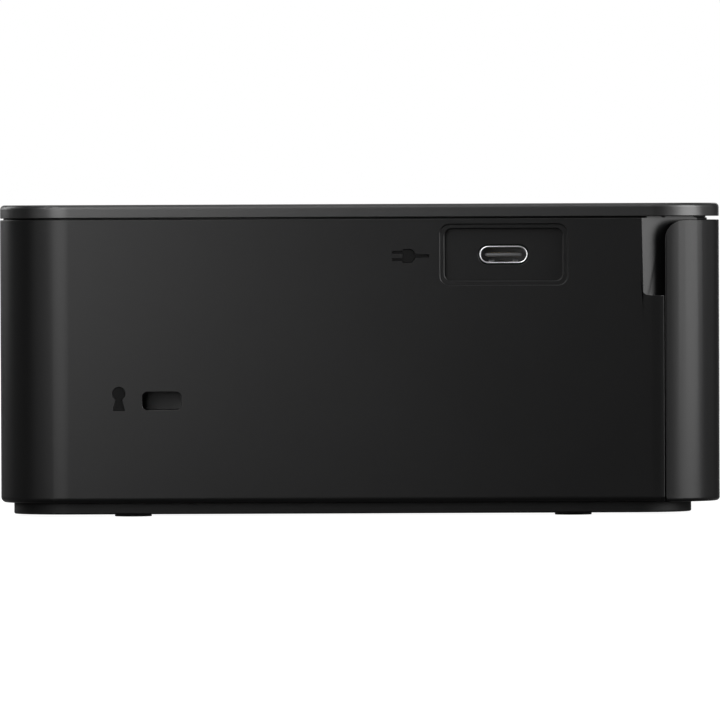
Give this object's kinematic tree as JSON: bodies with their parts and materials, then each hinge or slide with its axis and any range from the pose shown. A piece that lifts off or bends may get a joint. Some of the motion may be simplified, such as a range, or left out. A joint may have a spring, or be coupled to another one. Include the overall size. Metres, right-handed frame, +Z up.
{
  "type": "compact photo printer",
  "caption": "Low black photo printer with a wrap-round front door, side ribbon door, flush display and keys, and a roller paper path inside.",
  "frame": {"origin": "on the surface that the feet stand on, under the middle of the body's plan", "axes": "+Z up, front towards -Y, USB port and lock slot on the -X side"},
  "size_m": [0.1822, 0.133, 0.0575],
  "materials": {
    "casing_plastic": "fine satin moulded black",
    "cover_plastic": "satin black, slightly glossier",
    "base_plastic": "matt black",
    "inner_plastic": "matt black",
    "foot_rubber": "matt rubber",
    "roller_rubber": "ground rubber",
    "screen_glass": "dark glossy window",
    "key_plastic": "satin dark grey",
    "lever_plastic": "satin grey",
    "board_laminate": "solder mask",
    "switch_plastic": "plain",
    "plated_steel": "zinc-plated sheet and rod",
    "socket_steel": "bright drawn shell",
    "motor_steel": "satin",
    "capstan_steel": "fine grit grip surface",
    "gear_plastic": "natural white acetal",
    "brass": "plain",
    "head_alloy": "extruded",
    "head_ceramic": "glazed ceramic"
  },
  "bodies": {
    "housing": {"main_casing": "casing_plastic", "base_plate": "base_plastic", "rubber_feet": "foot_rubber", "top_cover": "cover_plastic", "display_glass": "screen_glass", "display_module": "switch_plastic", "key_board": "board_laminate", "key_switches": "switch_plastic", "main_board": "board_laminate", "usb_socket": "socket_steel", "card_socket": "plated_steel", "power_board": "board_laminate", "power_inlet": "switch_plastic", "left_side_plate": "plated_steel", "right_side_plate": "plated_steel", "chassis_rods": "plated_steel", "motor_bracket": "plated_steel", "feed_motor": "motor_steel", "ribbon_motor": "motor_steel", "head_motor": "motor_steel", "ribbon_bay_tray": "inner_plastic", "lower_paper_guide": "inner_plastic", "shaft_bushes": "brass", "lock_plate": "plated_steel", "case_screws": "plated_steel", "front_door_pins": "plated_steel", "ribbon_door_pin": "plated_steel", "eject_spring": "plated_steel"},
    "front_door_body": {"front_door": "casing_plastic"},
    "ribbon_door_body": {"ribbon_door": "casing_plastic"},
    "eject_lever_body": {"eject_lever": "lever_plastic"},
    "capstan": {"capstan_roller": "capstan_steel", "capstan_gear": "gear_plastic"},
    "pinch": {"pinch_roller": "roller_rubber"},
    "pickup": {"pickup_shaft": "plated_steel", "pickup_tyres": "roller_rubber", "pickup_gear": "gear_plastic"},
    "reduction": {"reduction_gear": "gear_plastic"},
    "feed_drive": {"feed_pinion": "brass"},
    "platen": {"platen_roller": "roller_rubber"},
    "takeup": {"takeup_spindle": "gear_plastic"},
    "ribbon_drive": {"ribbon_pinion": "brass"},
    "supply": {"supply_spindle": "gear_plastic"},
    "head": {"head_arm": "head_alloy", "head_heat_sink": "head_alloy", "thermal_head": "head_ceramic", "head_sector": "gear_plastic"},
    "head_drive": {"head_pinion": "brass"},
    "power_key_body": {"power_key": "key_plastic"},
    "home_key_body": {"home_key": "key_plastic"},
    "edit_key_body": {"edit_key": "key_plastic"},
    "back_key_body": {"back_key": "key_plastic"},
    "up_key_body": {"up_key": "key_plastic"},
    "down_key_body": {"down_key": "key_plastic"},
    "left_key_body": {"left_key": "key_plastic"},
    "right_key_body": {"right_key": "key_plastic"},
    "ok_key_body": {"ok_key": "key_plastic"},
    "minus_key_body": {"minus_key": "key_plastic"},
    "plus_key_body": {"plus_key": "key_plastic"}
  },
  "joints": [
    {"name": "front_door_hinge", "type": "hinge", "parent": "housing", "child": "front_door_body", "pos_m": [0, -0.0633, 0.0036], "axis": [1, 0, 0], "range_deg": [0, 88]},
    {"name": "ribbon_door_hinge", "type": "hinge", "parent": "housing", "child": "ribbon_door_body", "pos_m": [0.0893, 0.018, 0.014], "axis": [0, 1, 0], "range_deg": [0, 90]},
    {"name": "eject_lever_slide", "type": "slide", "parent": "housing", "child": "eject_lever_body", "axis": [0, 0, 1], "range_m": [0, 0.003], "stiffness_N_per_m": 150, "springref_m": -0.002, "deforming": ["eject_spring"]},
    {"name": "power_key_press", "type": "slide", "parent": "housing", "child": "power_key_body", "axis": [0, 0, -1], "range_m": [0, 0.00045], "stiffness_N_per_m": 400, "springref_m": -0.0005},
    {"name": "home_key_press", "type": "slide", "parent": "housing", "child": "home_key_body", "axis": [0, 0, -1], "range_m": [0, 0.00045], "stiffness_N_per_m": 400, "springref_m": -0.0005},
    {"name": "edit_key_press", "type": "slide", "parent": "housing", "child": "edit_key_body", "axis": [0, 0, -1], "range_m": [0, 0.00045], "stiffness_N_per_m": 400, "springref_m": -0.0005},
    {"name": "back_key_press", "type": "slide", "parent": "housing", "child": "back_key_body", "axis": [0, 0, -1], "range_m": [0, 0.00045], "stiffness_N_per_m": 400, "springref_m": -0.0005},
    {"name": "up_key_press", "type": "slide", "parent": "housing", "child": "up_key_body", "axis": [0, 0, -1], "range_m": [0, 0.00045], "stiffness_N_per_m": 400, "springref_m": -0.0005},
    {"name": "down_key_press", "type": "slide", "parent": "housing", "child": "down_key_body", "axis": [0, 0, -1], "range_m": [0, 0.00045], "stiffness_N_per_m": 400, "springref_m": -0.0005},
    {"name": "left_key_press", "type": "slide", "parent": "housing", "child": "left_key_body", "axis": [0, 0, -1], "range_m": [0, 0.00045], "stiffness_N_per_m": 400, "springref_m": -0.0005},
    {"name": "right_key_press", "type": "slide", "parent": "housing", "child": "right_key_body", "axis": [0, 0, -1], "range_m": [0, 0.00045], "stiffness_N_per_m": 400, "springref_m": -0.0005},
    {"name": "ok_key_press", "type": "slide", "parent": "housing", "child": "ok_key_body", "axis": [0, 0, -1], "range_m": [0, 0.00045], "stiffness_N_per_m": 400, "springref_m": -0.0005},
    {"name": "minus_key_press", "type": "slide", "parent": "housing", "child": "minus_key_body", "axis": [0, 0, -1], "range_m": [0, 0.00045], "stiffness_N_per_m": 400, "springref_m": -0.0005},
    {"name": "plus_key_press", "type": "slide", "parent": "housing", "child": "plus_key_body", "axis": [0, 0, -1], "range_m": [0, 0.00045], "stiffness_N_per_m": 400, "springref_m": -0.0005},
    {"name": "capstan_spin", "type": "hinge", "parent": "housing", "child": "capstan", "pos_m": [0, -0.016, 0.018], "axis": [1, 0, 0], "continuous": true},
    {"name": "pinch_spin", "type": "hinge", "parent": "housing", "child": "pinch", "pos_m": [0, -0.016, 0.0257], "axis": [1, 0, 0], "continuous": true},
    {"name": "pickup_spin", "type": "hinge", "parent": "housing", "child": "pickup", "pos_m": [0, -0.03304, 0.02993], "axis": [1, 0, 0], "continuous": true},
    {"name": "reduction_spin", "type": "hinge", "parent": "housing", "child": "reduction", "pos_m": [0, -0.03325, 0.01449], "axis": [1, 0, 0], "continuous": true},
    {"name": "feed_drive_spin", "type": "hinge", "parent": "housing", "child": "feed_drive", "pos_m": [0, -0.04666, 0.01676], "axis": [1, 0, 0], "continuous": true},
    {"name": "platen_spin", "type": "hinge", "parent": "housing", "child": "platen", "pos_m": [0, 0.02, 0.015], "axis": [1, 0, 0], "continuous": true},
    {"name": "takeup_spin", "type": "hinge", "parent": "housing", "child": "takeup", "pos_m": [0, 0.001, 0.036], "axis": [1, 0, 0], "continuous": true},
    {"name": "ribbon_drive_spin", "type": "hinge", "parent": "housing", "child": "ribbon_drive", "pos_m": [0, 0.01326, 0.02572], "axis": [1, 0, 0], "continuous": true},
    {"name": "supply_spin", "type": "hinge", "parent": "housing", "child": "supply", "pos_m": [0, 0.041, 0.036], "axis": [1, 0, 0], "continuous": true},
    {"name": "head_pivot", "type": "hinge", "parent": "housing", "child": "head", "pos_m": [0, 0.056, 0.046], "axis": [1, 0, 0], "range_deg": [0, 9]},
    {"name": "head_drive_spin", "type": "hinge", "parent": "housing", "child": "head_drive", "pos_m": [0, 0.04916, 0.02721], "axis": [1, 0, 0], "range_deg": [-36.5, 0.5]}
  ],
  "couplings": [
    {"joint": "pinch_spin", "follows": "capstan_spin", "ratio": -1.1429},
    {"joint": "pickup_spin", "follows": "capstan_spin", "ratio": -1.6},
    {"joint": "reduction_spin", "follows": "capstan_spin", "ratio": -2.6667},
    {"joint": "feed_drive_spin", "follows": "capstan_spin", "ratio": 6.4},
    {"joint": "ribbon_drive_spin", "follows": "takeup_spin", "ratio": -3},
    {"joint": "head_drive_spin", "follows": "head_pivot", "ratio": -4}
  ]
}
